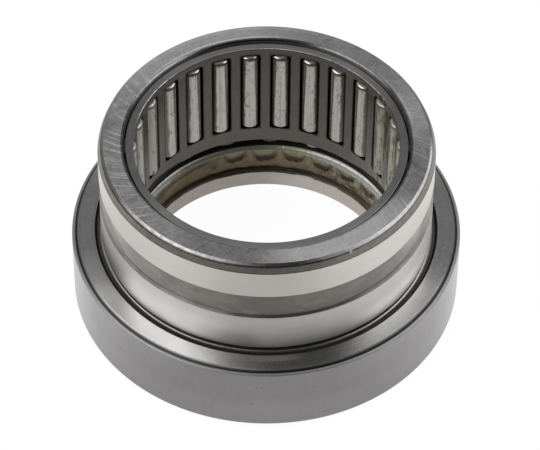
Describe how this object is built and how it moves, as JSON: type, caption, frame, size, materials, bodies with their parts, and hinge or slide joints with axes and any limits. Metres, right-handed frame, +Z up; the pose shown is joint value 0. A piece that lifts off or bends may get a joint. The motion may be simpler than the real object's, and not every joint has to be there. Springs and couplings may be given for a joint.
{
  "type": "combined needle roller and axial ball bearing",
  "caption": "Flanged ring with caged needle rollers for radial load, over a covered row of caged balls on a washer for axial load.",
  "frame": {"origin": "on the bearing's axis, at the underside of the shaft washer that the bearing stands on", "axes": "+Z up the bearing's axis from the shaft washer to the ring's upper end; +Y away from the viewer of the picture, +X to their right"},
  "size_m": [0.0612, 0.0612, 0.032],
  "materials": {
    "ground_steel": "ground and honed bearing steel",
    "race_steel": "ground bearing steel with an oil film",
    "rolling_steel": "polished bearing steel",
    "dark_cage": "dark satin steel",
    "pressed_cage": "pressed sheet steel, greasy",
    "cover_sheet": "drawn sheet steel, satin"
  },
  "bodies": {
    "housing_side": {"outer_ring": "ground_steel", "cover": "cover_sheet"},
    "shaft_washer": {"shaft_washer": "race_steel"},
    "ball_cage": {"ball_cage": "pressed_cage"},
    "needle_cage": {"needle_cage": "dark_cage"},
    "ball_01": {"ball_01": "rolling_steel"},
    "ball_02": {"ball_02": "rolling_steel"},
    "ball_03": {"ball_03": "rolling_steel"},
    "ball_04": {"ball_04": "rolling_steel"},
    "ball_05": {"ball_05": "rolling_steel"},
    "ball_06": {"ball_06": "rolling_steel"},
    "ball_07": {"ball_07": "rolling_steel"},
    "ball_08": {"ball_08": "rolling_steel"},
    "ball_09": {"ball_09": "rolling_steel"},
    "ball_10": {"ball_10": "rolling_steel"},
    "ball_11": {"ball_11": "rolling_steel"},
    "ball_12": {"ball_12": "rolling_steel"},
    "ball_13": {"ball_13": "rolling_steel"},
    "ball_14": {"ball_14": "rolling_steel"},
    "ball_15": {"ball_15": "rolling_steel"},
    "ball_16": {"ball_16": "rolling_steel"},
    "ball_17": {"ball_17": "rolling_steel"},
    "ball_18": {"ball_18": "rolling_steel"},
    "ball_19": {"ball_19": "rolling_steel"},
    "ball_20": {"ball_20": "rolling_steel"},
    "needle_01": {"needle_01": "rolling_steel"},
    "needle_02": {"needle_02": "rolling_steel"},
    "needle_03": {"needle_03": "rolling_steel"},
    "needle_04": {"needle_04": "rolling_steel"},
    "needle_05": {"needle_05": "rolling_steel"},
    "needle_06": {"needle_06": "rolling_steel"},
    "needle_07": {"needle_07": "rolling_steel"},
    "needle_08": {"needle_08": "rolling_steel"},
    "needle_09": {"needle_09": "rolling_steel"},
    "needle_10": {"needle_10": "rolling_steel"},
    "needle_11": {"needle_11": "rolling_steel"},
    "needle_12": {"needle_12": "rolling_steel"},
    "needle_13": {"needle_13": "rolling_steel"},
    "needle_14": {"needle_14": "rolling_steel"},
    "needle_15": {"needle_15": "rolling_steel"},
    "needle_16": {"needle_16": "rolling_steel"},
    "needle_17": {"needle_17": "rolling_steel"},
    "needle_18": {"needle_18": "rolling_steel"},
    "needle_19": {"needle_19": "rolling_steel"},
    "needle_20": {"needle_20": "rolling_steel"},
    "needle_21": {"needle_21": "rolling_steel"},
    "needle_22": {"needle_22": "rolling_steel"},
    "needle_23": {"needle_23": "rolling_steel"},
    "needle_24": {"needle_24": "rolling_steel"},
    "needle_25": {"needle_25": "rolling_steel"},
    "needle_26": {"needle_26": "rolling_steel"},
    "needle_27": {"needle_27": "rolling_steel"}
  },
  "joints": [
    {"name": "shaft_washer_spin", "type": "hinge", "parent": "housing_side", "child": "shaft_washer", "pos_m": [0, 0, 0.002], "axis": [0, 0, 1], "continuous": true},
    {"name": "ball_cage_spin", "type": "hinge", "parent": "housing_side", "child": "ball_cage", "pos_m": [0, 0, 0.0065], "axis": [0, 0, 1], "continuous": true},
    {"name": "needle_cage_spin", "type": "hinge", "parent": "housing_side", "child": "needle_cage", "pos_m": [0, 0, 0.02195], "axis": [0, 0, 1], "continuous": true},
    {"name": "ball_01_spin", "type": "hinge", "parent": "ball_cage", "child": "ball_01", "pos_m": [0.02396, 0.00714, 0.0065], "axis": [0.9583, 0.2857, 0], "continuous": true},
    {"name": "ball_02_spin", "type": "hinge", "parent": "ball_cage", "child": "ball_02", "pos_m": [0.02058, 0.0142, 0.0065], "axis": [0.8231, 0.5678, 0], "continuous": true},
    {"name": "ball_03_spin", "type": "hinge", "parent": "ball_cage", "child": "ball_03", "pos_m": [0.01518, 0.01986, 0.0065], "axis": [0.6074, 0.7944, 0], "continuous": true},
    {"name": "ball_04_spin", "type": "hinge", "parent": "ball_cage", "child": "ball_04", "pos_m": [0.0083, 0.02358, 0.0065], "axis": [0.3322, 0.9432, 0], "continuous": true},
    {"name": "ball_05_spin", "type": "hinge", "parent": "ball_cage", "child": "ball_05", "pos_m": [0.00061, 0.02499, 0.0065], "axis": [0.0244, 0.9997, 0], "continuous": true},
    {"name": "ball_06_spin", "type": "hinge", "parent": "ball_cage", "child": "ball_06", "pos_m": [-0.00714, 0.02396, 0.0065], "axis": [-0.2857, 0.9583, 0], "continuous": true},
    {"name": "ball_07_spin", "type": "hinge", "parent": "ball_cage", "child": "ball_07", "pos_m": [-0.0142, 0.02058, 0.0065], "axis": [-0.5678, 0.8231, 0], "continuous": true},
    {"name": "ball_08_spin", "type": "hinge", "parent": "ball_cage", "child": "ball_08", "pos_m": [-0.01986, 0.01518, 0.0065], "axis": [-0.7944, 0.6074, 0], "continuous": true},
    {"name": "ball_09_spin", "type": "hinge", "parent": "ball_cage", "child": "ball_09", "pos_m": [-0.02358, 0.0083, 0.0065], "axis": [-0.9432, 0.3322, 0], "continuous": true},
    {"name": "ball_10_spin", "type": "hinge", "parent": "ball_cage", "child": "ball_10", "pos_m": [-0.02499, 0.00061, 0.0065], "axis": [-0.9997, 0.0244, 0], "continuous": true},
    {"name": "ball_11_spin", "type": "hinge", "parent": "ball_cage", "child": "ball_11", "pos_m": [-0.02396, -0.00714, 0.0065], "axis": [-0.9583, -0.2857, 0], "continuous": true},
    {"name": "ball_12_spin", "type": "hinge", "parent": "ball_cage", "child": "ball_12", "pos_m": [-0.02058, -0.0142, 0.0065], "axis": [-0.8231, -0.5678, 0], "continuous": true},
    {"name": "ball_13_spin", "type": "hinge", "parent": "ball_cage", "child": "ball_13", "pos_m": [-0.01518, -0.01986, 0.0065], "axis": [-0.6074, -0.7944, 0], "continuous": true},
    {"name": "ball_14_spin", "type": "hinge", "parent": "ball_cage", "child": "ball_14", "pos_m": [-0.0083, -0.02358, 0.0065], "axis": [-0.3322, -0.9432, 0], "continuous": true},
    {"name": "ball_15_spin", "type": "hinge", "parent": "ball_cage", "child": "ball_15", "pos_m": [-0.00061, -0.02499, 0.0065], "axis": [-0.0244, -0.9997, 0], "continuous": true},
    {"name": "ball_16_spin", "type": "hinge", "parent": "ball_cage", "child": "ball_16", "pos_m": [0.00714, -0.02396, 0.0065], "axis": [0.2857, -0.9583, 0], "continuous": true},
    {"name": "ball_17_spin", "type": "hinge", "parent": "ball_cage", "child": "ball_17", "pos_m": [0.0142, -0.02058, 0.0065], "axis": [0.5678, -0.8231, 0], "continuous": true},
    {"name": "ball_18_spin", "type": "hinge", "parent": "ball_cage", "child": "ball_18", "pos_m": [0.01986, -0.01518, 0.0065], "axis": [0.7944, -0.6074, 0], "continuous": true},
    {"name": "ball_19_spin", "type": "hinge", "parent": "ball_cage", "child": "ball_19", "pos_m": [0.02358, -0.0083, 0.0065], "axis": [0.9432, -0.3322, 0], "continuous": true},
    {"name": "ball_20_spin", "type": "hinge", "parent": "ball_cage", "child": "ball_20", "pos_m": [0.02499, -0.00061, 0.0065], "axis": [0.9997, -0.0244, 0], "continuous": true},
    {"name": "needle_01_spin", "type": "hinge", "parent": "needle_cage", "child": "needle_01", "pos_m": [0.02171, 0.00159, 0.02195], "axis": [0, 0, 1], "continuous": true},
    {"name": "needle_02_spin", "type": "hinge", "parent": "needle_cage", "child": "needle_02", "pos_m": [0.02076, 0.00655, 0.02195], "axis": [0, 0, 1], "continuous": true},
    {"name": "needle_03_spin", "type": "hinge", "parent": "needle_cage", "child": "needle_03", "pos_m": [0.01869, 0.01116, 0.02195], "axis": [0, 0, 1], "continuous": true},
    {"name": "needle_04_spin", "type": "hinge", "parent": "needle_cage", "child": "needle_04", "pos_m": [0.01561, 0.01517, 0.02195], "axis": [0, 0, 1], "continuous": true},
    {"name": "needle_05_spin", "type": "hinge", "parent": "needle_cage", "child": "needle_05", "pos_m": [0.01169, 0.01836, 0.02195], "axis": [0, 0, 1], "continuous": true},
    {"name": "needle_06_spin", "type": "hinge", "parent": "needle_cage", "child": "needle_06", "pos_m": [0.00714, 0.02056, 0.02195], "axis": [0, 0, 1], "continuous": true},
    {"name": "needle_07_spin", "type": "hinge", "parent": "needle_cage", "child": "needle_07", "pos_m": [0.00221, 0.02166, 0.02195], "axis": [0, 0, 1], "continuous": true},
    {"name": "needle_08_spin", "type": "hinge", "parent": "needle_cage", "child": "needle_08", "pos_m": [-0.00285, 0.02158, 0.02195], "axis": [0, 0, 1], "continuous": true},
    {"name": "needle_09_spin", "type": "hinge", "parent": "needle_cage", "child": "needle_09", "pos_m": [-0.00775, 0.02034, 0.02195], "axis": [0, 0, 1], "continuous": true},
    {"name": "needle_10_spin", "type": "hinge", "parent": "needle_cage", "child": "needle_10", "pos_m": [-0.01223, 0.01801, 0.02195], "axis": [0, 0, 1], "continuous": true},
    {"name": "needle_11_spin", "type": "hinge", "parent": "needle_cage", "child": "needle_11", "pos_m": [-0.01605, 0.0147, 0.02195], "axis": [0, 0, 1], "continuous": true},
    {"name": "needle_12_spin", "type": "hinge", "parent": "needle_cage", "child": "needle_12", "pos_m": [-0.01901, 0.0106, 0.02195], "axis": [0, 0, 1], "continuous": true},
    {"name": "needle_13_spin", "type": "hinge", "parent": "needle_cage", "child": "needle_13", "pos_m": [-0.02094, 0.00594, 0.02195], "axis": [0, 0, 1], "continuous": true},
    {"name": "needle_14_spin", "type": "hinge", "parent": "needle_cage", "child": "needle_14", "pos_m": [-0.02175, 0.00094, 0.02195], "axis": [0, 0, 1], "continuous": true},
    {"name": "needle_15_spin", "type": "hinge", "parent": "needle_cage", "child": "needle_15", "pos_m": [-0.02138, -0.0041, 0.02195], "axis": [0, 0, 1], "continuous": true},
    {"name": "needle_16_spin", "type": "hinge", "parent": "needle_cage", "child": "needle_16", "pos_m": [-0.01986, -0.00892, 0.02195], "axis": [0, 0, 1], "continuous": true},
    {"name": "needle_17_spin", "type": "hinge", "parent": "needle_cage", "child": "needle_17", "pos_m": [-0.01727, -0.01326, 0.02195], "axis": [0, 0, 1], "continuous": true},
    {"name": "needle_18_spin", "type": "hinge", "parent": "needle_cage", "child": "needle_18", "pos_m": [-0.01375, -0.01688, 0.02195], "axis": [0, 0, 1], "continuous": true},
    {"name": "needle_19_spin", "type": "hinge", "parent": "needle_cage", "child": "needle_19", "pos_m": [-0.00948, -0.0196, 0.02195], "axis": [0, 0, 1], "continuous": true},
    {"name": "needle_20_spin", "type": "hinge", "parent": "needle_cage", "child": "needle_20", "pos_m": [-0.00471, -0.02125, 0.02195], "axis": [0, 0, 1], "continuous": true},
    {"name": "needle_21_spin", "type": "hinge", "parent": "needle_cage", "child": "needle_21", "pos_m": [0.00032, -0.02177, 0.02195], "axis": [0, 0, 1], "continuous": true},
    {"name": "needle_22_spin", "type": "hinge", "parent": "needle_cage", "child": "needle_22", "pos_m": [0.00533, -0.02111, 0.02195], "axis": [0, 0, 1], "continuous": true},
    {"name": "needle_23_spin", "type": "hinge", "parent": "needle_cage", "child": "needle_23", "pos_m": [0.01006, -0.01931, 0.02195], "axis": [0, 0, 1], "continuous": true},
    {"name": "needle_24_spin", "type": "hinge", "parent": "needle_cage", "child": "needle_24", "pos_m": [0.01424, -0.01647, 0.02195], "axis": [0, 0, 1], "continuous": true},
    {"name": "needle_25_spin", "type": "hinge", "parent": "needle_cage", "child": "needle_25", "pos_m": [0.01765, -0.01274, 0.02195], "axis": [0, 0, 1], "continuous": true},
    {"name": "needle_26_spin", "type": "hinge", "parent": "needle_cage", "child": "needle_26", "pos_m": [0.02012, -0.00833, 0.02195], "axis": [0, 0, 1], "continuous": true},
    {"name": "needle_27_spin", "type": "hinge", "parent": "needle_cage", "child": "needle_27", "pos_m": [0.02149, -0.00346, 0.02195], "axis": [0, 0, 1], "continuous": true}
  ],
  "couplings": [
    {"joint": "ball_cage_spin", "follows": "shaft_washer_spin", "ratio": 0.5},
    {"joint": "ball_01_spin", "follows": "shaft_washer_spin", "ratio": 3.4994},
    {"joint": "ball_02_spin", "follows": "shaft_washer_spin", "ratio": 3.4994},
    {"joint": "ball_03_spin", "follows": "shaft_washer_spin", "ratio": 3.4994},
    {"joint": "ball_04_spin", "follows": "shaft_washer_spin", "ratio": 3.4994},
    {"joint": "ball_05_spin", "follows": "shaft_washer_spin", "ratio": 3.4994},
    {"joint": "ball_06_spin", "follows": "shaft_washer_spin", "ratio": 3.4994},
    {"joint": "ball_07_spin", "follows": "shaft_washer_spin", "ratio": 3.4994},
    {"joint": "ball_08_spin", "follows": "shaft_washer_spin", "ratio": 3.4994},
    {"joint": "ball_09_spin", "follows": "shaft_washer_spin", "ratio": 3.4994},
    {"joint": "ball_10_spin", "follows": "shaft_washer_spin", "ratio": 3.4994},
    {"joint": "ball_11_spin", "follows": "shaft_washer_spin", "ratio": 3.4994},
    {"joint": "ball_12_spin", "follows": "shaft_washer_spin", "ratio": 3.4994},
    {"joint": "ball_13_spin", "follows": "shaft_washer_spin", "ratio": 3.4994},
    {"joint": "ball_14_spin", "follows": "shaft_washer_spin", "ratio": 3.4994},
    {"joint": "ball_15_spin", "follows": "shaft_washer_spin", "ratio": 3.4994},
    {"joint": "ball_16_spin", "follows": "shaft_washer_spin", "ratio": 3.4994},
    {"joint": "ball_17_spin", "follows": "shaft_washer_spin", "ratio": 3.4994},
    {"joint": "ball_18_spin", "follows": "shaft_washer_spin", "ratio": 3.4994},
    {"joint": "ball_19_spin", "follows": "shaft_washer_spin", "ratio": 3.4994},
    {"joint": "ball_20_spin", "follows": "shaft_washer_spin", "ratio": 3.4994},
    {"joint": "needle_01_spin", "follows": "needle_cage_spin", "ratio": -13.463},
    {"joint": "needle_02_spin", "follows": "needle_cage_spin", "ratio": -13.463},
    {"joint": "needle_03_spin", "follows": "needle_cage_spin", "ratio": -13.463},
    {"joint": "needle_04_spin", "follows": "needle_cage_spin", "ratio": -13.463},
    {"joint": "needle_05_spin", "follows": "needle_cage_spin", "ratio": -13.463},
    {"joint": "needle_06_spin", "follows": "needle_cage_spin", "ratio": -13.463},
    {"joint": "needle_07_spin", "follows": "needle_cage_spin", "ratio": -13.463},
    {"joint": "needle_08_spin", "follows": "needle_cage_spin", "ratio": -13.463},
    {"joint": "needle_09_spin", "follows": "needle_cage_spin", "ratio": -13.463},
    {"joint": "needle_10_spin", "follows": "needle_cage_spin", "ratio": -13.463},
    {"joint": "needle_11_spin", "follows": "needle_cage_spin", "ratio": -13.463},
    {"joint": "needle_12_spin", "follows": "needle_cage_spin", "ratio": -13.463},
    {"joint": "needle_13_spin", "follows": "needle_cage_spin", "ratio": -13.463},
    {"joint": "needle_14_spin", "follows": "needle_cage_spin", "ratio": -13.463},
    {"joint": "needle_15_spin", "follows": "needle_cage_spin", "ratio": -13.463},
    {"joint": "needle_16_spin", "follows": "needle_cage_spin", "ratio": -13.463},
    {"joint": "needle_17_spin", "follows": "needle_cage_spin", "ratio": -13.463},
    {"joint": "needle_18_spin", "follows": "needle_cage_spin", "ratio": -13.463},
    {"joint": "needle_19_spin", "follows": "needle_cage_spin", "ratio": -13.463},
    {"joint": "needle_20_spin", "follows": "needle_cage_spin", "ratio": -13.463},
    {"joint": "needle_21_spin", "follows": "needle_cage_spin", "ratio": -13.463},
    {"joint": "needle_22_spin", "follows": "needle_cage_spin", "ratio": -13.463},
    {"joint": "needle_23_spin", "follows": "needle_cage_spin", "ratio": -13.463},
    {"joint": "needle_24_spin", "follows": "needle_cage_spin", "ratio": -13.463},
    {"joint": "needle_25_spin", "follows": "needle_cage_spin", "ratio": -13.463},
    {"joint": "needle_26_spin", "follows": "needle_cage_spin", "ratio": -13.463},
    {"joint": "needle_27_spin", "follows": "needle_cage_spin", "ratio": -13.463}
  ]
}
